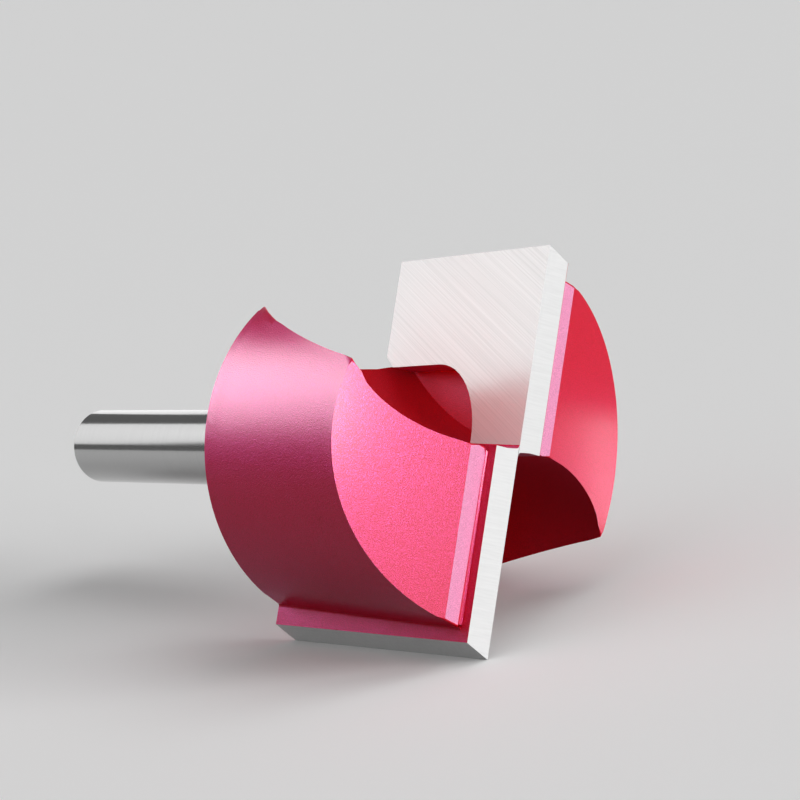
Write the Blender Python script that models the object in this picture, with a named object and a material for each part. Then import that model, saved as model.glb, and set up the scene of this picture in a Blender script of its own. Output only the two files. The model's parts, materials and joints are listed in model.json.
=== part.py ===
"""Surfacing router bit with two brazed carbide tips.

The bit is drawn along its own axis, cutting end up: z = 0 is the plane of the two cutting
edges and the shank points to -z. It is then laid down as it comes to rest: on the side edge of
one tip and the rear corner of the lobe beside it, with the cutting end towards +X.

Each gullet is ground by a wheel square to the tip's rake plane, with a rim of half an ellipse,
so its floor ramps out of the head towards the shank. A point near a tip is also given by
its depth n behind the rake plane, its height y from the axis and its distance l along the tip.
"""

import math

import bmesh
import bpy
from mathutils import Matrix, Vector

MM = 0.001

# Cutting circle and carbide tips
CUTTING_DIAMETER = 31.75 * MM
SHEAR_ANGLE = math.radians(6.3)
TIP_LENGTH = 21.2 * MM
TIP_THICKNESS = 2.1 * MM
TIP_SIDE_RELIEF = 0.95 * MM
TIP_END_RELIEF = 0.07 * MM
TIP_WING_LENGTH = 6.9 * MM
TIP_ARM_HEIGHT = 7.1 * MM
TIP_NOTCH_RADIUS = 6.2 * MM
TIP_FLOOR_CLEARANCE = 0.15 * MM
TIP_CENTRE_OVERLAP = 0.42 * MM
TIP_CENTRE_GAP = 0.02 * MM

# Braze in the joint between a tip and its seat
BRAZE_THICKNESS = 0.14 * MM
JOINT_CLEARANCE = 0.02 * MM
BRAZE_INSET = 0.12 * MM

# Steel head
HEAD_DIAMETER = 28.2 * MM
TIP_PROUD_OF_LAND = 0.95 * MM
LAND_WIDTH = 1.45 * MM
END_SLOPE_ANGLE = math.radians(20.5)
EDGE_ROUNDING = 0.16 * MM
WING_END_CLEARANCE = 0.06 * MM

# Grinding wheel that leaves a gullet
WHEEL_RADIUS = 32.86 * MM
WHEEL_RIM_DEPTH = 6.54 * MM
WHEEL_HALF_WIDTH = 10.94 * MM
WHEEL_OFFSET = 3.34 * MM
WHEEL_PAST_AXIS = 0.17 * MM
WHEEL_CENTRE_ALONG_TIP = 1.14 * MM

# Steel shank
SHANK_DIAMETER = 6.35 * MM
SHANK_LENGTH = 36.3 * MM
SHANK_CHAMFER = 0.4 * MM
NECK_RADIUS = 1.2 * MM
SHANK_ROOT = 0.8 * MM

# Facets
REAR_LEVELS = 10
FRONT_LEVELS = 4
RIM_STEPS = 34
FLOOR_STEPS = 14
LAND_STEPS = 2
WEB_STEPS = 6
ROUNDING_STEPS = 3
SHANK_FACETS = 72
NECK_STEPS = 5
NOTCH_STEPS = 12
WING_STEPS = 4
MERGE_DISTANCE = 0.004 * MM

SIN_SHEAR = math.sin(SHEAR_ANGLE)
COS_SHEAR = math.cos(SHEAR_ANGLE)
CUTTING_RADIUS = CUTTING_DIAMETER / 2
HEAD_RADIUS = HEAD_DIAMETER / 2
SHANK_RADIUS = SHANK_DIAMETER / 2
WHEEL_CENTRE_HEIGHT = WHEEL_RADIUS - WHEEL_PAST_AXIS
LAND_Z = -TIP_PROUD_OF_LAND
REAR_Z = -TIP_LENGTH * COS_SHEAR
WEB_Z = -TIP_WING_LENGTH * COS_SHEAR - WING_END_CLEARANCE
SEAT_DEPTH = TIP_CENTRE_GAP + TIP_THICKNESS + BRAZE_THICKNESS + 2 * JOINT_CLEARANCE
NECK_TURN = math.radians(88)
SHARP_ANGLE = math.radians(20)
HALF_TURN = Matrix.Rotation(math.pi, 4, "Z")


def tip_point(depth, height, along):
    """The point at a depth behind the rake plane, a height from the axis and a way along the tip."""
    return Vector((
        depth * COS_SHEAR + along * SIN_SHEAR,
        height,
        depth * SIN_SHEAR - along * COS_SHEAR,
    ))


def along_at(depth, z):
    """How far along the tip the level z is met at a depth behind the rake plane."""
    return (depth * SIN_SHEAR - z) / COS_SHEAR


def wheel_floor(depth, along):
    """Height of the gullet's floor at a depth behind the rake plane and a way along the tip."""
    across = (depth + WHEEL_OFFSET) / WHEEL_HALF_WIDTH
    rim = WHEEL_RIM_DEPTH * math.sqrt(max(0.0, 1.0 - across ** 2))
    reach = WHEEL_RADIUS - WHEEL_RIM_DEPTH + rim
    return WHEEL_CENTRE_HEIGHT - math.sqrt(reach ** 2 - (along - WHEEL_CENTRE_ALONG_TIP) ** 2)


def floor_height(x, z):
    """Height of the first gullet's floor over the point x, z."""
    return wheel_floor(x * COS_SHEAR + z * SIN_SHEAR, x * SIN_SHEAR - z * COS_SHEAR)


def seat_x(z):
    """Where the first tip's seat stands at the level z."""
    return (SEAT_DEPTH - z * SIN_SHEAR) / COS_SHEAR


LAND_EDGE_X = seat_x(LAND_Z) + LAND_WIDTH


def lobe_tip_angle(z):
    """Angle on the head's side where the first gullet's floor comes out of the second lobe."""
    low, high = math.radians(100), math.radians(178)
    for _ in range(50):
        middle = (low + high) / 2
        if HEAD_RADIUS * math.sin(middle) > floor_height(HEAD_RADIUS * math.cos(middle), z):
            low = middle
        else:
            high = middle
    return (low + high) / 2


def rim_angle(x):
    """Angle on the head's side, below the axis, of the point at x."""
    return 2 * math.pi - math.acos(x / HEAD_RADIUS)


def end_z(x):
    """Level of the head's cutting end: a flat land by the tips, then a slope away from them."""
    return LAND_Z - math.tan(END_SLOPE_ANGLE) * max(0.0, abs(x) - LAND_EDGE_X)


def section_half(z):
    """Half of the head's outline at the level z, from the first seat's rim to the second's.

    It runs down the first seat to its foot, along the gullet's floor past the second seat's
    plane to the second lobe's tip, and round the side of that lobe.
    """
    seat = seat_x(z)
    land = seat + LAND_WIDTH
    tip = lobe_tip_angle(z)
    stretches = (
        (seat, -seat, WEB_STEPS),
        (-seat, -land, LAND_STEPS),
        (-land, HEAD_RADIUS * math.cos(tip), FLOOR_STEPS),
    )
    outline = [(seat, math.sqrt(HEAD_RADIUS ** 2 - seat ** 2))]
    for start, end, steps in stretches:
        for step in range(steps):
            x = start + (end - start) * step / steps
            outline.append((x, floor_height(x, z)))
    slope_edge = rim_angle(-land)
    for step in range(RIM_STEPS + 1):
        angle = tip + (slope_edge - tip) * step / RIM_STEPS
        outline.append((HEAD_RADIUS * math.cos(angle), HEAD_RADIUS * math.sin(angle)))
    return outline


# Places in the half outline where its stretches begin
FOOT = 1
SEAT_PLANE = FOOT + WEB_STEPS
LAND_END = SEAT_PLANE + LAND_STEPS
LOBE_TIP = LAND_END + FLOOR_STEPS
SLOPE_END = LOBE_TIP + RIM_STEPS
COLUMNS = SLOPE_END + 1


def column_point(column, share):
    """The point of a column of the head at a share of the way from its rear to its end face."""
    z = REAR_Z + share * (LAND_Z - REAR_Z)
    for _ in range(30):
        x, y = section_half(z)[column]
        z = REAR_Z + share * (end_z(x) - REAR_Z)
    return Vector((x, y, z))


def new_object(name, mesh, parent):
    """Link an object with a mesh and hang it on its parent."""
    piece = bpy.data.objects.new(name, mesh)
    bpy.context.collection.objects.link(piece)
    piece.parent = parent
    return piece


def mesh_from(bm, name):
    """Turn an edit mesh into a smooth-shaded mesh with its true edges kept sharp."""
    bmesh.ops.recalc_face_normals(bm, faces=bm.faces)
    mesh = bpy.data.meshes.new(name)
    bm.to_mesh(mesh)
    bm.free()
    mesh.shade_smooth()
    mesh.set_sharp_from_angle(angle=SHARP_ANGLE)
    return mesh


def head_mesh():
    """The head, lofted from its rear face up.

    Behind the tips' wings it is one web with two lobes. Beside the wings it is two lobes, each
    with a land by its seat and a slope away from it.
    """
    bm = bmesh.new()
    web_share = (WEB_Z - REAR_Z) / (LAND_Z - REAR_Z)
    shares = [web_share * level / REAR_LEVELS for level in range(REAR_LEVELS)]
    shares += [
        web_share + (1 - web_share) * level / FRONT_LEVELS for level in range(FRONT_LEVELS + 1)
    ]
    levels = []
    for number, share in enumerate(shares):
        half = [column_point(column, share) for column in range(COLUMNS)]
        beside_wing = number > REAR_LEVELS
        ring = []
        for turn in (Matrix.Identity(4), HALF_TURN):
            for column, point in enumerate(half):
                gone = beside_wing and FOOT < column < SEAT_PLANE
                ring.append(None if gone else bm.verts.new(turn @ point))
        levels.append(ring)

    count = 2 * COLUMNS
    lobe_starts = (SEAT_PLANE, COLUMNS + SEAT_PLANE)
    lobes = []
    for start in lobe_starts:
        lobes.append([(start + i) % count for i in range(COLUMNS - SEAT_PLANE + FOOT + 1)])

    def wall(columns, lower, upper):
        for a, b in zip(columns, columns[1:] + columns[:1]):
            bm.faces.new((lower[a], lower[b], upper[b], upper[a]))

    for lower, upper in zip(levels[:REAR_LEVELS], levels[1:]):
        wall(list(range(count)), lower, upper)
    for lower, upper in zip(levels[REAR_LEVELS:], levels[REAR_LEVELS + 1:]):
        for lobe in lobes:
            wall(lobe, lower, upper)

    bm.faces.new(levels[0])
    web = levels[REAR_LEVELS]
    inner = list(range(FOOT, SEAT_PLANE + 1))
    bm.faces.new([web[i] for i in inner + [COLUMNS + i for i in inner]])
    top = levels[-1]
    slope = LAND_END - SEAT_PLANE, SLOPE_END - SEAT_PLANE
    for lobe in lobes:
        bm.faces.new([top[i] for i in lobe[slope[0]:slope[1] + 1]])
        bm.faces.new([top[i] for i in lobe[:slope[0] + 1] + lobe[slope[1]:]])

    rounded = []
    for lobe in lobes:
        rounded += [(top[a], top[b]) for a, b in zip(lobe, lobe[1:] + lobe[:1])]
    rounded += list(zip(levels[0], levels[0][1:] + levels[0][:1]))
    for corner in (0, LOBE_TIP, COLUMNS, COLUMNS + LOBE_TIP):
        rounded += [(lower[corner], upper[corner]) for lower, upper in zip(levels, levels[1:])]
    bmesh.ops.bevel(
        bm, geom=[bm.edges.get(pair) for pair in rounded], offset=EDGE_ROUNDING,
        offset_type="OFFSET", segments=ROUNDING_STEPS, profile=0.5, affect="EDGES",
        clamp_overlap=False,
    )
    bmesh.ops.remove_doubles(bm, verts=bm.verts, dist=MERGE_DISTANCE)
    bmesh.ops.dissolve_degenerate(bm, edges=bm.edges, dist=MERGE_DISTANCE)
    return mesh_from(bm, "head")


def shank_mesh():
    """The shank, turned with a chamfered end and a small neck that grows into the head."""
    end_z_level = REAR_Z - SHANK_LENGTH
    profile = [(0.0, end_z_level), (SHANK_RADIUS - SHANK_CHAMFER, end_z_level)]
    profile += [(SHANK_RADIUS, end_z_level + SHANK_CHAMFER)]
    for step in range(NECK_STEPS + 1):
        turn = NECK_TURN * step / NECK_STEPS
        profile.append((
            SHANK_RADIUS + NECK_RADIUS * (1 - math.cos(turn)),
            REAR_Z - NECK_RADIUS * (1 - math.sin(turn)),
        ))
    root = profile[-1][0] + NECK_RADIUS / 4
    profile += [(root, REAR_Z + SHANK_ROOT), (0.0, REAR_Z + SHANK_ROOT)]
    bm = bmesh.new()
    line = [bm.verts.new((radius, 0.0, z)) for radius, z in profile]
    edges = [bm.edges.new(pair) for pair in zip(line, line[1:])]
    bmesh.ops.spin(
        bm, geom=line + edges, axis=(0, 0, 1), cent=(0, 0, 0),
        angle=2 * math.pi, steps=SHANK_FACETS, use_merge=True,
    )
    bmesh.ops.remove_doubles(bm, verts=bm.verts, dist=MERGE_DISTANCE)
    return mesh_from(bm, "shank")


def close_rings(bm, rings):
    """Join a row of rings of as many points into one closed solid."""
    bm.faces.new(rings[0])
    bm.faces.new(reversed(rings[-1]))
    for near, far in zip(rings, rings[1:]):
        for i in range(len(near)):
            j = (i + 1) % len(near)
            bm.faces.new((near[j], near[i], far[i], far[j]))


def tip_inner_end(depth, along):
    """Height of a tip's inner end, flush with the other gullet's floor, with a root at the centre."""
    point = tip_point(depth, 0.0, along)
    flush = -floor_height(-point.x, point.z)
    across = min(max(depth - TIP_CENTRE_GAP, 0.0), TIP_CENTRE_OVERLAP)
    rise = math.sqrt(max(0.0, TIP_CENTRE_OVERLAP ** 2 - (TIP_CENTRE_OVERLAP - across) ** 2))
    return min(flush, rise - TIP_CENTRE_OVERLAP)


def notch_outline(depth, inset):
    """Outline of a tip behind its wing: the straight arm, its trimmed corner and the round notch.

    Beside the web it stays clear of the gullet's floor, and an inset draws it inside the tip's.
    """
    height = TIP_ARM_HEIGHT + inset
    radius = TIP_NOTCH_RADIUS + inset
    end = along_at(depth, REAR_Z) - inset
    gap = TIP_FLOOR_CLEARANCE + inset

    def clear_of_floor(designed, along):
        return max(designed, wheel_floor(SEAT_DEPTH, along) + gap)

    outline = [(clear_of_floor(height, end), end)]
    arm_front = TIP_WING_LENGTH + TIP_NOTCH_RADIUS
    reach = WHEEL_CENTRE_HEIGHT - wheel_floor(SEAT_DEPTH, WHEEL_CENTRE_ALONG_TIP)
    drop = WHEEL_CENTRE_HEIGHT - height + gap
    if drop < reach:
        trimmed = WHEEL_CENTRE_ALONG_TIP + math.sqrt(reach ** 2 - drop ** 2)
        if arm_front < trimmed < end:
            outline.append((height, trimmed))
    for step in range(NOTCH_STEPS + 1):
        turn = math.radians(90) * step / NOTCH_STEPS
        along = arm_front - radius * math.sin(turn)
        edge = TIP_ARM_HEIGHT - TIP_NOTCH_RADIUS + radius * math.cos(turn)
        if along > TIP_WING_LENGTH + WING_END_CLEARANCE:
            edge = clear_of_floor(edge, along)
        outline.append((edge, along))
    return outline


def tip_outline(depth):
    """Outline of a tip at a depth: cutting edges, arm, notch and inner end."""
    share = (depth - TIP_CENTRE_GAP) / TIP_THICKNESS
    outer = CUTTING_RADIUS - share * TIP_SIDE_RELIEF
    front = along_at(depth, -share * TIP_END_RELIEF)
    outline = [(outer, front), (outer, along_at(depth, REAR_Z))] + notch_outline(depth, 0.0)
    for step in range(WING_STEPS + 1):
        along = TIP_WING_LENGTH + (front - TIP_WING_LENGTH) * step / WING_STEPS
        outline.append((tip_inner_end(depth, along), along))
    return outline


def tip_mesh():
    """A carbide tip: flat rake face, relieved side and end, notched behind its wing."""
    root = TIP_CENTRE_OVERLAP
    depths = [0.0, 0.04 * root, 0.15 * root, 0.4 * root, 0.7 * root, root]
    depths += [TIP_THICKNESS / 2, TIP_THICKNESS]
    bm = bmesh.new()
    rings = []
    for depth in depths:
        depth += TIP_CENTRE_GAP
        rings.append([bm.verts.new(tip_point(depth, *place)) for place in tip_outline(depth)])
    close_rings(bm, rings)
    return mesh_from(bm, "carbide_tip")


def braze_outline(depth):
    """Outline of the braze at a depth, level with the land in front and inside the seat's edge."""
    front = along_at(depth, LAND_Z) + BRAZE_INSET
    outline = []
    for along in (front, along_at(depth, REAR_Z) - BRAZE_INSET):
        x = tip_point(depth, 0.0, along).x
        rim = math.sqrt(HEAD_RADIUS ** 2 - x ** 2)
        outline.append((rim - EDGE_ROUNDING - BRAZE_INSET, along))
    outline += notch_outline(depth, BRAZE_INSET)
    for along in (TIP_WING_LENGTH - BRAZE_INSET, front):
        outline.append((tip_inner_end(depth, along) + 2 * BRAZE_INSET, along))
    return outline


def braze_mesh():
    """The film of braze that joins a tip's back to its seat."""
    near = TIP_CENTRE_GAP + TIP_THICKNESS + JOINT_CLEARANCE
    bm = bmesh.new()
    rings = [
        [bm.verts.new(tip_point(depth, *place)) for place in braze_outline(depth)]
        for depth in (near, near + BRAZE_THICKNESS)
    ]
    close_rings(bm, rings)
    return mesh_from(bm, "braze")


def join(piece, other):
    """Join a piece with another solid, which is kept as a hidden guide."""
    other.hide_render = True
    other.display_type = "WIRE"
    modifier = piece.modifiers.new(other.name, "BOOLEAN")
    modifier.operation = "UNION"
    modifier.object = other
    modifier.solver = "EXACT"


def material(name, colour, roughness, metallic):
    """A plain Principled material."""
    finish = bpy.data.materials.new(name)
    finish.use_nodes = True
    shader = finish.node_tree.nodes["Principled BSDF"]
    shader.inputs["Base Color"].default_value = (*colour, 1.0)
    shader.inputs["Roughness"].default_value = roughness
    shader.inputs["Metallic"].default_value = metallic
    return finish


def resting_matrix(body_points, tip_edge):
    """Turn the bit so that one tip's side edge and the nearest point of the body touch z = 0.

    The bit is tipped about the tip's side edge until the first point of the body meets the
    floor. Its axis then runs along X, cutting end to +X.
    """
    front, rear = tip_edge
    edge = (front - rear).normalized()
    out = (Vector((0.0, front.y, 0.0)) - edge * edge.y * front.y).normalized()
    side = edge.cross(out)
    lift = min(
        (math.atan2(-(point - front).dot(out), (point - front).dot(side)), index)
        for index, point in enumerate(body_points)
        if (point - front).dot(side) > SHANK_RADIUS
    )[0]
    down = out * math.cos(lift) + side * math.sin(lift)
    up = -down
    forward = Vector((0.0, 0.0, 1.0))
    forward = (forward - up * forward.dot(up)).normalized()
    turn = Matrix((forward, up.cross(forward), up)).to_4x4()
    return turn


def main():
    for old in list(bpy.data.objects):
        bpy.data.objects.remove(old, do_unlink=True)

    axis = bpy.data.objects.new("bit_axis", None)
    bpy.context.collection.objects.link(axis)

    red_coat = material("red_coat", (0.55, 0.01, 0.02), 0.35, 0.3)
    carbide = material("ground_carbide", (0.75, 0.75, 0.76), 0.3, 1.0)
    silver_braze = material("silver_braze", (0.5, 0.25, 0.35), 0.35, 1.0)

    body = new_object("steel_body", head_mesh(), axis)
    body.data.materials.append(red_coat)
    join(body, new_object("shank", shank_mesh(), axis))

    pieces = [body]
    for name, mesh, finish in (
        ("carbide_tip", tip_mesh(), carbide),
        ("braze_joint", braze_mesh(), silver_braze),
    ):
        mesh.materials.append(finish)
        for number in (1, 2):
            piece = new_object(f"{name}_{number}", mesh, axis)
            piece.rotation_euler = (0.0, 0.0, math.pi * (number - 1))
            pieces.append(piece)

    bpy.context.view_layer.update()
    shapes = bpy.context.evaluated_depsgraph_get()
    places = {}
    for piece in pieces:
        shape = piece.evaluated_get(shapes)
        places[piece.name] = [piece.matrix_world @ vertex.co for vertex in shape.data.vertices]
    edge = (
        HALF_TURN @ tip_point(TIP_CENTRE_GAP, CUTTING_RADIUS, 0.0),
        HALF_TURN @ tip_point(TIP_CENTRE_GAP, CUTTING_RADIUS, TIP_LENGTH),
    )
    turn = resting_matrix(places["steel_body"], edge)
    turned = [turn @ point for points in places.values() for point in points]
    low = Vector([min(point[k] for point in turned) for k in range(3)])
    high = Vector([max(point[k] for point in turned) for k in range(3)])
    axis.matrix_world = Matrix.Translation((
        -(low.x + high.x) / 2, -(low.y + high.y) / 2, -low.z,
    )) @ turn
    bpy.context.view_layer.update()


main()
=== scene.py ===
"""Looks of the surfacing router bit: coat, ground steel, ground carbide, braze and the studio."""

import json
import math

import bpy
from bpy.props import FloatProperty, FloatVectorProperty, PointerProperty
from mathutils import Matrix, Vector

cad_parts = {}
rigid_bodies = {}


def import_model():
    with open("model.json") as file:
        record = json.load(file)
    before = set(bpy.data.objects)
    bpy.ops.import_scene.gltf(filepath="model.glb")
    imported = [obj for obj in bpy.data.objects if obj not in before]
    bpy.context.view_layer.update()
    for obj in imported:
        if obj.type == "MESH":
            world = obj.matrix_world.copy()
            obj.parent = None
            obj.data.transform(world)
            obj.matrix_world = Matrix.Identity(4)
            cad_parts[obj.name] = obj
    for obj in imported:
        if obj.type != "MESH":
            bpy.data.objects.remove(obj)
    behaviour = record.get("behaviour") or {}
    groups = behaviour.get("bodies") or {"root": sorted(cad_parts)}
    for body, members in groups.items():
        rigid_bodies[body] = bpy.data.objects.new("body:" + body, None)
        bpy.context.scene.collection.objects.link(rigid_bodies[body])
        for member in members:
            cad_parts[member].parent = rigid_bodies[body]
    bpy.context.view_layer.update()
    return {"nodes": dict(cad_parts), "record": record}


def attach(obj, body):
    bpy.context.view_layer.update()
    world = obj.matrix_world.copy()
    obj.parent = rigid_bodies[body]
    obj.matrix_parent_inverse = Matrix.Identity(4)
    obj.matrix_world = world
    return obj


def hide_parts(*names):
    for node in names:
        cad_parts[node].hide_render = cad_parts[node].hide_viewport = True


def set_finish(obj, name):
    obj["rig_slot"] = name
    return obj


bl_info = {
    "name": "Surfacing router bit",
    "version": (1, 0, 0),
    "blender": (4, 5, 0),
    "location": "View3D > Sidebar > Router bit",
    "description": "Dresses the packed router bit with its coat, ground faces, braze and studio",
    "category": "Object",
}

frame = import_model()

MM = 0.001
BODY_NODE = "steel_body"
TIP_NODES = ("carbide_tip_1", "carbide_tip_2")
BRAZE_NODES = ("braze_joint_1", "braze_joint_2")
HALF_TURN = Matrix.Rotation(math.pi, 4, "Z")

# Heights on the bit, from the plane of its cutting edges, and reaches from its axis
LAND_HEIGHT = -0.95 * MM
HEAD_MIDDLE = -10.0 * MM
REAR_HEIGHT = -21.0 * MM
SHANK_START = -22.6 * MM
GULLET_REACH = 13.6 * MM
NECK_REACH = 6.0 * MM
SAME_LEVEL = 0.01 * MM

# Shares of a normal along an axis of the bit, which tell the faces apart
LAND_FACING = 0.99
BACK_FACING = 0.95
END_FACING = 0.9
SIDE_FACING = 0.85
SLOPE_FACING = 0.8
ROUND_FACING = 0.5

# Faces wider than this are lit flat, and those between them turn the light
WIDE_FACE = 0.25 * MM
CREASE_ANGLE = math.radians(12)
ROUNDING_ANGLE = math.radians(55)

# Merging of the solids' loose triangles
MERGE_DISTANCE = 0.001 * MM
FLAT_ANGLE = math.radians(0.3)

# Coat: tint of a clear layer, gloss in the gullets, shades of the grain, film and corner fillets
CLEAR = (1.0, 1.0, 1.0)
GULLET_GLOSS = 0.25
GRAIN_SHADES = (0.82, 1.04)
SPARKLE_SHADES = (0.45, 1.4)
FILM_THICKNESS = 0.02 * MM
FILLET = 0.28 * MM
FILLET_SUNK = 0.03 * MM
FILLET_STEPS = 6
FILLET_PROFILE = 0.09

# Marks of grinding: stretch of the pattern, share of metal, depth and shade of the darkest marks
RAKE_MARKS = {"stretch": (0.0, 1.0, 0.004), "metal": 0.33, "depth": 1.0, "dark": 0.86}
RELIEF_MARKS = {"stretch": (0.03, 0.7, 0.7), "metal": 0.05, "depth": 0.15, "dark": 0.94}
SHANK_STRETCH = (60.0, 60.0, 9000.0)

# Part of a pattern's range over which its colour changes
PATTERN_RANGE = (0.35, 0.65)

# Suns: name, which is also the setting of their strength, spread, azimuth and elevation in
# degrees, and what they light, where None is everything
SUNS = (
    ("front_light", 40, (16, 10), None),
    ("top_light", 90, (-110, 55), None),
    ("tip_light", 90, (-110, 50), "tips"),
    ("floor_light", 40, (60, 62), "floor"),
)

# Softboxes: name, azimuth and elevation in degrees, distance, size, glow and what they light
SOFTBOXES = (
    ("back_softbox", (-165, 22), 0.40, (0.20, 0.20), 1.15, "whole"),
    ("side_strip", (146, 8), 0.40, (0.14, 0.16), 1.1, "whole"),
    ("coat_back", (-161, 25), 0.30, (0.14, 0.13), 16.5, "coat"),
    ("coat_end", (-26.1, 23.8), 0.0427, (0.01, 0.01), 140.0, "coat"),
    ("coat_front", (-2, 11), 0.30, (0.12, 0.12), 4.0, "coat"),
    ("coat_side", (71.4, -23.5), 0.0261, (0.003, 0.012), 7.0, "coat"),
)
# Softboxes whose light nothing blocks
UNBLOCKED = ("coat_side",)

FLOOR_SIZE = 8.0
FLOOR_BOUNCE = (0.05, 0.05, 0.05)

# Photograph's camera in the bit's own axes
CAMERA_PITCH = math.radians(-0.336)
CAMERA_YAW = math.radians(38.107)
CAMERA_SPIN = math.radians(-11.120)
CAMERA_DISTANCE = 248.65 * MM
CAMERA_ASIDE = Vector((8.934 * MM, -3.807 * MM, 0.0))
CAMERA_LENS = 148.87


def bit_place():
    """Matrix from the bit's own axes to the world.

    Its z runs along the shank to the cutting end, its origin is on the plane of the two cutting
    edges, and its y runs out along the first tip's edge.
    """
    mount = frame["record"]["mounts"][0]
    end = Vector(mount["pos_m"])
    ahead = -Vector(mount["axis"]).normalized()
    corners = [v.co for v in frame["nodes"][TIP_NODES[0]].data.vertices]
    reach = max((corner - end).dot(ahead) for corner in corners)
    origin = end + ahead * reach
    front = [c for c in corners if (c - end).dot(ahead) > reach - SAME_LEVEL]
    outer = max(front, key=lambda corner: (corner - origin).length)
    out = outer - origin
    out = (out - ahead * out.dot(ahead)).normalized()
    turn = Matrix((out.cross(ahead), out, ahead)).transposed().to_4x4()
    return Matrix.Translation(origin) @ turn


BIT = bit_place()


def tip_place(number):
    """Matrix from a tip's own axes to the world: the second tip is the first, half a turn on."""
    return BIT @ (HALF_TURN if number else Matrix.Identity(4))


class CoatSettings(bpy.types.PropertyGroup):
    colour: FloatVectorProperty(
        name="Colour", description="Red of the coat where it is lit", subtype="COLOR",
        size=3, min=0.0, max=1.0, default=(0.77, 0.002, 0.003),
    )
    sheen_colour: FloatVectorProperty(
        name="Sheen colour", description="Tint of the coat's broad reflection", subtype="COLOR",
        size=3, min=0.0, max=1.0, default=(0.52, 0.56, 1.0),
    )
    depth_colour: FloatVectorProperty(
        name="Depth colour", description="Tint of all light that passes through the coat",
        subtype="COLOR", size=3, min=0.0, max=1.0, default=(1.0, 0.33, 0.80),
    )
    # Painted sheen: the coat on the tips' backs is pinker than the head's, standing in for the light
    # it reflects
    back_sheen_colour: FloatVectorProperty(
        name="Colour on the tips' backs", description="Coat over carbide, pinker as a painted sheen",
        subtype="COLOR", size=3, min=0.0, max=1.0, default=(0.62, 0.03, 0.12),
    )
    # Painted sheen: the pink of the lands stands in for the light they reflect
    land_sheen_colour: FloatVectorProperty(
        name="Colour on the lands", description="Coat on the lands by the tips, pink as a painted sheen",
        subtype="COLOR", size=3, min=0.0, max=1.0, default=(0.94, 0.33, 0.54),
    )
    grain: FloatProperty(
        name="Grain", description="Width of the coat's fine grain", subtype="DISTANCE",
        unit="LENGTH", min=0.00001, default=0.07 * MM,
    )
    grain_height: FloatProperty(
        name="Grain height", description="Height of the coat's fine grain", subtype="DISTANCE",
        unit="LENGTH", min=0.0, default=0.028 * MM,
    )


class GroundSettings(bpy.types.PropertyGroup):
    carbide: FloatVectorProperty(
        name="Carbide", description="Colour of the ground carbide", subtype="COLOR",
        size=3, min=0.0, max=1.0, default=(0.83, 0.83, 0.83),
    )
    steel: FloatVectorProperty(
        name="Steel", description="Colour of the bare shank", subtype="COLOR",
        size=3, min=0.0, max=1.0, default=(0.50, 0.50, 0.50),
    )
    mark_width: FloatProperty(
        name="Mark width", description="Width of a grinding mark", subtype="DISTANCE",
        unit="LENGTH", min=0.00001, default=0.11 * MM,
    )
    mark_angle: FloatProperty(
        name="Mark angle", description="Angle of the marks to the tip's length",
        subtype="ANGLE", default=math.radians(-28),
    )


class StudioSettings(bpy.types.PropertyGroup):
    floor: FloatVectorProperty(
        name="Floor", description="Colour of the floor", subtype="COLOR",
        size=3, min=0.0, max=1.0, default=(0.90, 0.90, 0.90),
    )
    ambient: FloatProperty(
        name="Ambient", description="Strength of the light from all round", min=0.0, default=0.16,
    )
    front_light: FloatProperty(
        name="Front light", description="Strength of the light on the cutting end",
        min=0.0, default=3.5,
    )
    top_light: FloatProperty(
        name="Top light", description="Strength of the light from above and beside the shank",
        min=0.0, default=0.6,
    )
    tip_light: FloatProperty(
        name="Tip light", description="Strength of the light on the tips' rake faces",
        min=0.0, default=1.6,
    )
    floor_light: FloatProperty(
        name="Floor light", description="Strength of the light on the floor", min=0.0, default=0.7,
    )


# Nodes
def add_node(tree, kind, inputs=None, **settings):
    """Add a shader node, set its fields and fill or link its inputs."""
    made = tree.nodes.new(kind)
    for name, value in settings.items():
        setattr(made, name, value)
    for name, value in (inputs or {}).items():
        if isinstance(value, bpy.types.NodeSocket):
            tree.links.new(value, made.inputs[name])
        else:
            made.inputs[name].default_value = value
    return made


def new_material(name):
    """A material with a Principled shader, and its tree and shader."""
    made = bpy.data.materials.new(name)
    made.use_nodes = True
    return made, made.node_tree, made.node_tree.nodes["Principled BSDF"]


def set_inputs(shader, **values):
    """Set constant values on the shader's own sockets, named with underscores for spaces."""
    for name, value in values.items():
        shader.inputs[name.replace("_", " ")].default_value = value


def own_place(tree, place, scale=(1.0, 1.0, 1.0), angle=0.0):
    """Object coordinates turned into a piece's own axes, turned by an angle and stretched."""
    coordinates = add_node(tree, "ShaderNodeTexCoord")
    back = place.inverted()
    own = add_node(tree, "ShaderNodeMapping", {
        "Vector": coordinates.outputs["Object"],
        "Location": back.translation,
        "Rotation": back.to_euler("XYZ"),
    })
    turned = add_node(tree, "ShaderNodeMapping", {
        "Vector": own.outputs["Vector"],
        "Rotation": (angle, 0.0, 0.0),
    })
    return add_node(tree, "ShaderNodeMapping", {
        "Vector": turned.outputs["Vector"],
        "Scale": scale,
    }).outputs["Vector"]


def shade(tree, shader, pattern, low, high, socket="Base Color"):
    """Give a socket a colour between two, chosen by a pattern."""
    ramp = add_node(tree, "ShaderNodeValToRGB", {"Fac": pattern})
    for element, position, colour in zip(ramp.color_ramp.elements, PATTERN_RANGE, (low, high)):
        element.position = position
        element.color = (*colour, 1.0)
    tree.links.new(ramp.outputs["Color"], shader.inputs[socket])


def relieve(tree, shader, pattern, height, strength=1.0):
    """Raise and lower a surface by a pattern."""
    bump = add_node(tree, "ShaderNodeBump", {
        "Height": pattern, "Distance": height, "Strength": strength,
    })
    tree.links.new(bump.outputs["Normal"], shader.inputs["Normal"])


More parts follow.
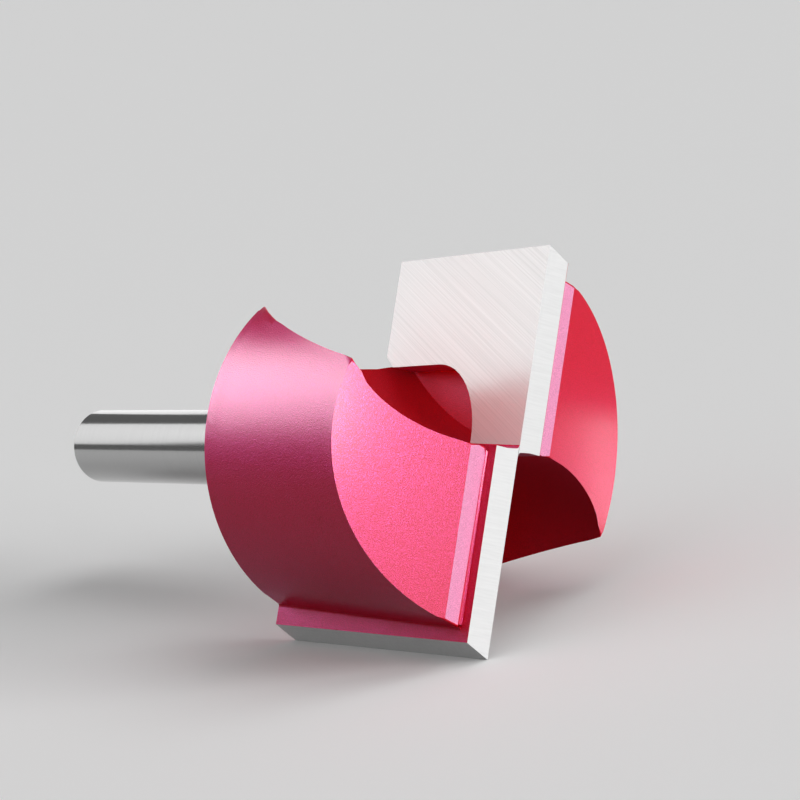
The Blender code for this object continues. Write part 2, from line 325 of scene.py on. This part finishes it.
# Finishes
def grained_coat(name, colour, depth, gloss=1.0):
    """Fine-grained coat with a broad tinted reflection under a clear one; less gloss is duller."""
    coat = bpy.context.scene.router_coat
    made, tree, shader = new_material(name)
    coordinates = add_node(tree, "ShaderNodeTexCoord").outputs["Object"]
    grain = add_node(tree, "ShaderNodeTexNoise", {
        "Vector": coordinates, "Scale": 1.0 / coat.grain, "Detail": 0.0,
    }).outputs["Fac"]
    body, sheen = Vector(colour), Vector(coat.sheen_colour)
    shade(tree, shader, grain, *(body * share for share in GRAIN_SHADES))
    sparkle = [sheen * share for share in SPARKLE_SHADES]
    shade(tree, shader, grain, *sparkle, socket="Specular Tint")
    relieve(tree, shader, grain, coat.grain_height)
    set_inputs(
        shader, Metallic=0.03, Roughness=0.65 - 0.23 * gloss, IOR=1.48,
        Specular_IOR_Level=0.5 * gloss, Coat_Weight=1.0, Coat_Roughness=0.75 - 0.45 * gloss,
        Coat_IOR=1.12 + 0.09 * gloss, Coat_Tint=(*depth, 1.0),
    )
    return made


def bare_steel():
    """Polished shank with faint marks round it."""
    ground = bpy.context.scene.router_ground
    made, tree, shader = new_material("bare_steel")
    marks = add_node(tree, "ShaderNodeTexNoise", {
        "Vector": own_place(tree, BIT, scale=SHANK_STRETCH), "Scale": 1.0, "Detail": 3.0,
    }).outputs["Fac"]
    steel = Vector(ground.steel)
    shade(tree, shader, marks, steel * 0.94, steel)
    relieve(tree, shader, marks, 0.002 * MM, 0.3)
    set_inputs(shader, Metallic=1.0, Roughness=0.14)
    return made


def ground_carbide(name, place, angle, stretch, metal, depth, dark):
    """Ground carbide whose marks run one way over a face of the tip at a place."""
    ground = bpy.context.scene.router_ground
    made, tree, shader = new_material(name)
    lines = own_place(tree, place, scale=stretch, angle=angle)
    marks = add_node(tree, "ShaderNodeTexNoise", {
        "Vector": lines, "Scale": 1.0 / ground.mark_width, "Detail": 3.0, "Roughness": 0.6,
    }).outputs["Fac"]
    carbide = Vector(ground.carbide)
    shade(tree, shader, marks, carbide * dark, carbide)
    relieve(tree, shader, marks, 0.008 * MM, depth)
    set_inputs(shader, Metallic=metal, Roughness=0.2)
    return made


def coated_braze():
    """Braze under a thin coat, darker and purpler than the head as painted shade for the joint line.
    """
    made, tree, shader = new_material("coated_braze")
    coordinates = add_node(tree, "ShaderNodeTexCoord").outputs["Object"]
    flow = add_node(tree, "ShaderNodeTexNoise", {
        "Vector": coordinates, "Scale": 2500.0, "Detail": 2.0,
    }).outputs["Fac"]
    # Painted shade: the braze's dark purple stands in for the shade in the joint line
    shade(tree, shader, flow, (0.30, 0.004, 0.03), (0.42, 0.01, 0.06))
    set_inputs(shader, Metallic=0.3, Roughness=0.35)
    return made


# Shaping
def only(piece):
    """Select one object alone and make it active."""
    bpy.ops.object.select_all(action="DESELECT")
    piece.select_set(True)
    bpy.context.view_layer.objects.active = piece


def merged_copy(node, name):
    """A copy of a CAD node with its loose triangles merged into whole faces."""
    source = frame["nodes"][node]
    piece = bpy.data.objects.new(name, source.data.copy())
    bpy.context.scene.collection.objects.link(piece)
    piece.data.materials.clear()
    only(piece)
    bpy.ops.mesh.customdata_custom_splitnormals_clear()
    bpy.ops.object.mode_set(mode="EDIT")
    bpy.ops.mesh.select_all(action="SELECT")
    bpy.ops.mesh.remove_doubles(threshold=MERGE_DISTANCE)
    bpy.ops.mesh.dissolve_limited(angle_limit=FLAT_ANGLE)
    bpy.ops.mesh.normals_make_consistent(inside=False)
    bpy.ops.object.mode_set(mode="OBJECT")
    return piece


def keep_part(piece, height, ahead):
    """Cut a piece square to the bit's axis, close it and keep the part ahead of or behind the cut."""
    only(piece)
    bpy.ops.object.mode_set(mode="EDIT")
    bpy.ops.mesh.select_all(action="SELECT")
    bpy.ops.mesh.bisect(
        plane_co=BIT @ Vector((0.0, 0.0, height)), plane_no=BIT.to_3x3() @ Vector((0.0, 0.0, 1.0)),
        use_fill=True, clear_inner=ahead, clear_outer=not ahead,
    )
    bpy.ops.object.mode_set(mode="OBJECT")


def turn_light(piece):
    """Light wide faces flat up to a crease, and let the narrow ones between them turn smoothly."""
    only(piece)
    bpy.ops.object.shade_smooth()
    mesh = piece.data
    faces = mesh.polygons
    around = {}
    beside = {}
    wide = {}
    for face in faces:
        sides = [
            (mesh.vertices[a].co - mesh.vertices[b].co).length for a, b in face.edge_keys
        ]
        wide[face.index] = face.area / max(sides) > WIDE_FACE
        for vertex in face.vertices:
            around.setdefault(vertex, []).append(face)
        for key in face.edge_keys:
            beside.setdefault(key, []).append(face)

    def flat(face, vertex):
        near = [
            other for other in around[vertex]
            if wide[other.index] and other.normal.angle(face.normal) < CREASE_ANGLE
        ]
        return sum((other.normal * other.area for other in near), Vector()).normalized()

    def turned(face, vertex):
        shared = [
            other for key in face.edge_keys if vertex in key for other in beside[key]
            if wide[other.index] and other.normal.angle(face.normal) < ROUNDING_ANGLE
        ]
        if shared:
            return sum((flat(other, vertex) for other in shared), Vector()).normalized()
        near = [
            other for other in around[vertex]
            if not wide[other.index] and other.normal.angle(face.normal) < ROUNDING_ANGLE
        ]
        return sum((other.normal for other in near), Vector()).normalized()

    normals = []
    for face in faces:
        chosen = flat if wide[face.index] else turned
        normals += [chosen(face, mesh.loops[corner].vertex_index) for corner in face.loop_indices]
    mesh.normals_split_custom_set(normals)


def finish_piece(piece, finish, slot, nodes=()):
    """Give a piece its place in the frame, and one finish where it has none of its own yet."""
    if finish:
        piece.data.materials.clear()
        piece.data.materials.append(finish)
    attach(piece, "root")
    if nodes:
        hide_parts(*nodes)
    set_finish(piece, slot)


def back_film(tip, back, name):
    """The coat on a tip's back, as a thin closed film."""
    bpy.ops.object.select_all(action="DESELECT")
    film = bpy.data.objects.new(name, tip.data.copy())
    bpy.context.scene.collection.objects.link(film)
    only(film)
    bpy.ops.object.mode_set(mode="EDIT")
    bpy.ops.mesh.select_all(action="DESELECT")
    bpy.ops.mesh.select_mode(type="FACE")
    bpy.ops.object.mode_set(mode="OBJECT")
    for face in film.data.polygons:
        face.select = (back @ face.normal).x < BACK_FACING
    bpy.ops.object.mode_set(mode="EDIT")
    bpy.ops.mesh.delete(type="FACE")
    bpy.ops.object.mode_set(mode="OBJECT")
    bpy.ops.object.modifier_add(type="SOLIDIFY")
    wall = film.modifiers[-1]
    wall.thickness = FILM_THICKNESS
    wall.offset = 1.0
    bpy.ops.object.modifier_apply(modifier=wall.name)
    return film


def corner_fillet(name, start, end, up, aside):
    """A concave fillet along the corner of two faces, which run up and aside from its line."""
    bpy.ops.object.select_all(action="DESELECT")
    bpy.ops.mesh.primitive_plane_add(size=FILLET)
    piece = bpy.context.object
    piece.name = name
    bpy.ops.object.mode_set(mode="EDIT")
    bpy.ops.mesh.select_mode(type="VERT")
    bpy.ops.mesh.select_all(action="DESELECT")
    bpy.ops.object.mode_set(mode="OBJECT")
    for vertex in piece.data.vertices:
        vertex.select = vertex.co.x > 0.0 and vertex.co.y > 0.0
    bpy.ops.object.mode_set(mode="EDIT")
    bpy.ops.mesh.bevel(
        offset=0.98 * FILLET, affect="VERTICES", segments=FILLET_STEPS, profile=FILLET_PROFILE,
    )
    bpy.ops.mesh.select_all(action="SELECT")
    run = end - start
    bpy.ops.mesh.extrude_region_move(TRANSFORM_OT_translate={"value": (0.0, 0.0, run.length)})
    bpy.ops.object.mode_set(mode="OBJECT")
    along = run.normalized()
    corner = start + (aside + up) * (0.5 * FILLET - FILLET_SUNK)
    place = Matrix((aside, up, along)).transposed().to_4x4()
    piece.data.transform(Matrix.Translation(corner) @ place)
    only(piece)
    bpy.ops.object.mode_set(mode="EDIT")
    bpy.ops.mesh.select_all(action="SELECT")
    bpy.ops.mesh.normals_make_consistent(inside=False)
    bpy.ops.object.mode_set(mode="OBJECT")
    return piece


class ROUTERBIT_OT_body(bpy.types.Operator):
    """Coat the head red and leave the shank bare"""

    bl_idname = "router.body"
    bl_label = "Head and shank"

    def execute(self, context):
        coat = context.scene.router_coat
        coats = (
            grained_coat("head_coat", coat.colour, coat.depth_colour),
            # The lands' pink colour is a painted sheen
            grained_coat("land_coat", coat.land_sheen_colour, CLEAR),
            grained_coat("gullet_coat", coat.colour, coat.depth_colour, GULLET_GLOSS),
        )
        for name, ahead, finishes in (("head", True, coats), ("shank", False, (bare_steel(),))):
            piece = merged_copy(BODY_NODE, name)
            keep_part(piece, SHANK_START, ahead)
            for finish in finishes:
                piece.data.materials.append(finish)
            if ahead:
                self.choose_coats(piece)
            turn_light(piece)
            finish_piece(piece, None, "red_coat", (BODY_NODE,))
        return {"FINISHED"}

    def choose_coats(self, head):
        """Put the second finish, pink as a painted sheen, on the lands and the third in the gullets.
        """
        own = BIT.inverted()
        turn = own.to_3x3()
        for face in head.data.polygons:
            centre = own @ face.center
            normal = turn @ face.normal
            reach = centre.xy.length
            neck = centre.z < REAR_HEIGHT and reach < NECK_REACH
            if abs(centre.z - LAND_HEIGHT) < SAME_LEVEL and normal.z > LAND_FACING:
                face.material_index = 1
            elif abs(normal.z) < SLOPE_FACING and not neck:
                outward = normal.xy.dot(centre.xy.normalized())
                if reach < GULLET_REACH or outward < ROUND_FACING:
                    face.material_index = 2


class ROUTERBIT_OT_tips(bpy.types.Operator):
    """Grind the tips' working faces and coat their backs and inner ends"""

    bl_idname = "router.tips"
    bl_label = "Carbide tips"

    def execute(self, context):
        ground = context.scene.router_ground
        # The tips' coat is tinted pinker as a painted sheen
        coat = grained_coat("coated_back", context.scene.router_coat.back_sheen_colour, CLEAR)
        for number, node in enumerate(TIP_NODES):
            piece = merged_copy(node, node.replace("carbide", "ground"))
            place = tip_place(number)
            rake = ground_carbide(
                f"ground_rake_{number + 1}", place, ground.mark_angle, **RAKE_MARKS
            )
            relief = ground_carbide(f"ground_relief_{number + 1}", place, 0.0, **RELIEF_MARKS)
            for finish in (coat, rake, relief):
                piece.data.materials.append(finish)
            back = place.inverted().to_3x3()
            for face in piece.data.polygons:
                normal = back @ face.normal
                if normal.x < -BACK_FACING:
                    face.material_index = 1
                elif normal.z > END_FACING or normal.y > SIDE_FACING:
                    face.material_index = 2
            turn_light(piece)
            finish_piece(piece, None, "ground_carbide", (node,))
        return {"FINISHED"}


class ROUTERBIT_OT_coated_corners(bpy.types.Operator):
    """Coat the tips' backs and fill the corners where they leave the head"""

    bl_idname = "router.coated_corners"
    bl_label = "Coated corners"

    def execute(self, context):
        finish = bpy.data.materials["head_coat"]
        head = context.scene.objects["head"]
        for number, node in enumerate(TIP_NODES):
            tip = context.scene.objects[node.replace("carbide", "ground")]
            place = tip_place(number)
            own = place.inverted()
            film = back_film(tip, own.to_3x3(), f"coated_back_{number + 1}")
            finish_piece(film, finish, "red_coat")
            face = max(tip.data.polygons, key=lambda f: (own.to_3x3() @ f.normal).x * f.area)
            back = (own @ face.center, own.to_3x3() @ face.normal)
            corners = [own @ vertex.co for vertex in head.data.vertices]
            for where, run in (("land", self.land_run), ("rim", self.rim_run)):
                start, end, rise, side = run(corners, *back)
                turn = place.to_3x3()
                fillet = corner_fillet(
                    f"{where}_fillet_{number + 1}", place @ start, place @ end, turn @ rise,
                    turn @ side,
                )
                finish_piece(fillet, finish, "red_coat")
        return {"FINISHED"}

    def across(self, height, point, normal):
        """How far across the bit the plane of a tip's back lies at a height on the axis."""
        return point.x + (point.z - height) * normal.z / normal.x

    def land_run(self, corners, point, normal):
        """Ends of the corner between a tip's back and the land, and its two directions."""
        land = [c.y for c in corners if abs(c.z - LAND_HEIGHT) < SAME_LEVEL and c.x > 0.0]
        x = self.across(LAND_HEIGHT, point, normal)
        low = min(land) + FILLET
        high = max(land) - 0.2 * FILLET
        rise = Vector((-normal.z, 0.0, normal.x))
        return (
            Vector((x, low, LAND_HEIGHT)), Vector((x, high, LAND_HEIGHT)),
            rise, Vector((1.0, 0.0, 0.0)),
        )

    def rim_run(self, corners, point, normal):
        """Ends of the corner between a tip's back and the round side, and its two directions."""
        radius = max(c.xy.length for c in corners)
        ends = []
        for height in (LAND_HEIGHT, REAR_HEIGHT):
            x = self.across(height, point, normal)
            ends.append(Vector((x, math.sqrt(radius ** 2 - x ** 2), height)))
        middle = 0.5 * (ends[0] + ends[1])
        along = (ends[1] - ends[0]).normalized()
        side = Vector((middle.y, -middle.x, 0.0))
        side = (side - along * side.dot(along)).normalized()
        rise = normal.cross(along)
        if rise.y < 0.0:
            rise = -rise
        return ends[0], ends[1], rise.normalized(), side


class ROUTERBIT_OT_braze(bpy.types.Operator):
    """Finish the brazed films"""

    bl_idname = "router.braze"
    bl_label = "Brazed joints"

    def execute(self, context):
        finish = coated_braze()
        for node in BRAZE_NODES:
            piece = frame["nodes"][node]
            for slot in piece.material_slots:
                slot.material = finish
        return {"FINISHED"}


class ROUTERBIT_OT_studio(bpy.types.Operator):
    """Lay the floor and set the lights and the camera"""

    bl_idname = "router.studio"
    bl_label = "Studio"

    def execute(self, context):
        studio = context.scene.router_studio
        self.floor(studio)
        self.lights(context, studio)
        self.camera(context)
        context.scene.view_settings.view_transform = "Standard"
        return {"FINISHED"}

    def floor(self, studio):
        """A plain floor that is pale to the camera and in reflections and throws little light."""
        bpy.ops.object.select_all(action="DESELECT")
        bpy.ops.mesh.primitive_plane_add(size=FLOOR_SIZE)
        floor = bpy.context.object
        floor.name = "studio_floor"
        finish, tree, shader = new_material("studio_floor")
        path = add_node(tree, "ShaderNodeLightPath")
        seen = add_node(tree, "ShaderNodeMath", {
            0: path.outputs["Is Camera Ray"], 1: path.outputs["Is Glossy Ray"],
        }, operation="MAXIMUM")
        seen = add_node(tree, "ShaderNodeMath", {
            0: seen.outputs["Value"], 1: path.outputs["Is Transmission Ray"],
        }, operation="MAXIMUM")
        pale = add_node(tree, "ShaderNodeMix", data_type="RGBA")
        tree.links.new(seen.outputs["Value"], pale.inputs["Factor"])
        pale.inputs["A"].default_value = (*FLOOR_BOUNCE, 1.0)
        pale.inputs["B"].default_value = (*studio.floor, 1.0)
        tree.links.new(pale.outputs["Result"], shader.inputs["Base Color"])
        set_inputs(shader, Roughness=0.9, Specular_IOR_Level=0.1)
        floor.data.materials.append(finish)

    def lights(self, context, studio):
        """An even world, suns that light whole groups, and softboxes for the reflections."""
        world = bpy.data.worlds.new("studio")
        world.use_nodes = True
        background = world.node_tree.nodes["Background"]
        background.inputs["Color"].default_value = (1.0, 1.0, 1.0, 1.0)
        background.inputs["Strength"].default_value = studio.ambient
        context.scene.world = world

        whole = [piece for piece in context.scene.objects if "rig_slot" in piece]
        coated = [piece for piece in whole if piece.data.materials[0].name == "head_coat"]
        tips = [piece for piece in whole if piece.name.startswith("ground_tip")]
        floor = [context.scene.objects["studio_floor"]]
        lit_only = {"whole": whole, "coat": coated, "tips": tips, "floor": floor}
        groups = {}
        for name, pieces in lit_only.items():
            groups[name] = bpy.data.collections.new(f"lit_{name}")
            for piece in pieces:
                groups[name].objects.link(piece)
        for name, spread, place, group in SUNS:
            sun = bpy.data.lights.new(name, "SUN")
            sun.energy = getattr(studio, name)
            sun.angle = math.radians(spread)
            lamp = self.hang(sun, place, 1.0)
            if group:
                lamp.light_linking.receiver_collection = groups[group]

        for name, place, distance, size, glow, group in SOFTBOXES:
            box = bpy.data.lights.new(name, "AREA")
            box.shape = "RECTANGLE"
            box.size, box.size_y = size
            box.energy = glow * math.pi * box.size * box.size_y
            lamp = self.hang(box, place, distance)
            lamp.visible_camera = False
            lamp.visible_diffuse = group != "coat"
            box.use_shadow = name not in UNBLOCKED
            lamp.light_linking.receiver_collection = groups[group]

    def hang(self, light, place, distance):
        """Place a light at an azimuth and elevation in degrees, facing the middle of the head."""
        azimuth, elevation = (math.radians(angle) for angle in place)
        towards = Vector((
            math.cos(azimuth) * math.cos(elevation),
            math.sin(azimuth) * math.cos(elevation),
            math.sin(elevation),
        ))
        lamp = bpy.data.objects.new(light.name, light)
        lamp.location = BIT @ Vector((0.0, 0.0, HEAD_MIDDLE)) + towards * distance
        lamp.rotation_euler = towards.to_track_quat("Z", "Y").to_euler()
        bpy.context.scene.collection.objects.link(lamp)
        return lamp

    def camera(self, context):
        """The photograph's camera, placed from the bit."""
        turn = (
            Matrix.Rotation(CAMERA_PITCH, 3, "X")
            @ Matrix.Rotation(CAMERA_YAW, 3, "Y")
            @ Matrix.Rotation(CAMERA_SPIN, 3, "Z")
        )
        back = turn.transposed()
        eye = back @ (Vector((0.0, 0.0, CAMERA_DISTANCE)) - CAMERA_ASIDE)
        lens = bpy.data.cameras.new("photo_camera")
        lens.lens = CAMERA_LENS
        lens.clip_start = 10 * MM
        camera = bpy.data.objects.new("photo_camera", lens)
        camera.matrix_world = BIT @ Matrix.Translation(eye) @ back.to_4x4()
        context.scene.collection.objects.link(camera)
        context.scene.camera = camera


class ROUTERBIT_PT_panel(bpy.types.Panel):
    """Sizes and colours of the router bit's looks"""

    bl_idname = "ROUTERBIT_PT_panel"
    bl_label = "Router bit"
    bl_space_type = "VIEW_3D"
    bl_region_type = "UI"
    bl_category = "Router bit"

    def draw(self, context):
        for group in (context.scene.router_coat, context.scene.router_ground,
                      context.scene.router_studio):
            box = self.layout.box()
            for name in group.__annotations__:
                box.prop(group, name)
        for operator in OPERATORS:
            self.layout.operator(operator.bl_idname)


OPERATORS = (
    ROUTERBIT_OT_body, ROUTERBIT_OT_tips, ROUTERBIT_OT_coated_corners, ROUTERBIT_OT_braze,
    ROUTERBIT_OT_studio,
)
SETTINGS = {
    "router_coat": CoatSettings,
    "router_ground": GroundSettings,
    "router_studio": StudioSettings,
}
CLASSES = (*SETTINGS.values(), *OPERATORS, ROUTERBIT_PT_panel)


def register():
    for made in CLASSES:
        bpy.utils.register_class(made)
    for name, group in SETTINGS.items():
        setattr(bpy.types.Scene, name, PointerProperty(type=group))


def unregister():
    for name in SETTINGS:
        delattr(bpy.types.Scene, name)
    for made in reversed(CLASSES):
        bpy.utils.unregister_class(made)


def main():
    register()
    bpy.ops.router.body()
    bpy.ops.router.tips()
    bpy.ops.router.coated_corners()
    bpy.ops.router.braze()
    bpy.ops.router.studio()


if __name__ == "__main__":
    main()
